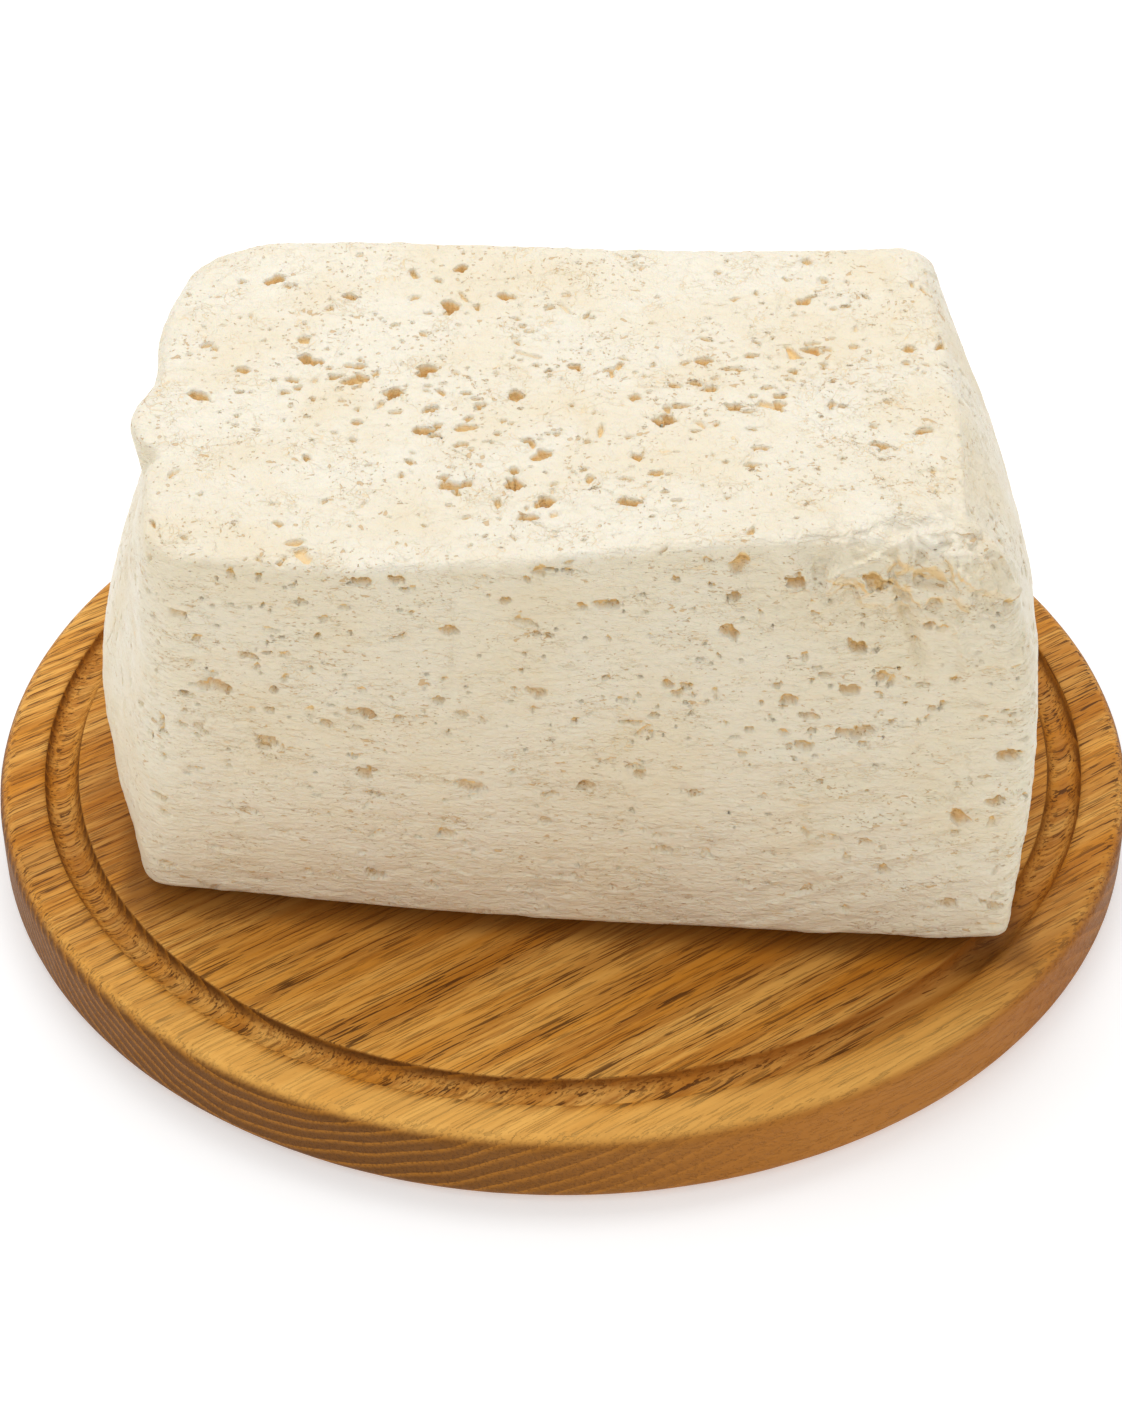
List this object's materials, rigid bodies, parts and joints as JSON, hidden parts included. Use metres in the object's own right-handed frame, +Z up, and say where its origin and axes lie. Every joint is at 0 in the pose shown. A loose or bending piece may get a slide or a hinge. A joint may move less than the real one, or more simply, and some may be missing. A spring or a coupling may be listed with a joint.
{
  "type": "block of white cheese on a round board",
  "caption": "Slumped block of white brined cheese with a pitted, crumbly surface, standing on a round oak board with a juice groove.",
  "frame": {"origin": "centre of the round board's underside", "axes": "+Z up through the board and the cheese; the block's broad front face looks along -Y and its length runs along X"},
  "size_m": [0.3, 0.3, 0.1394],
  "materials": {
    "cheese": "satin",
    "oak": "satin"
  },
  "bodies": {
    "root": {"cheese_block": "cheese", "cutting_board": "oak"}
  },
  "joints": []
}
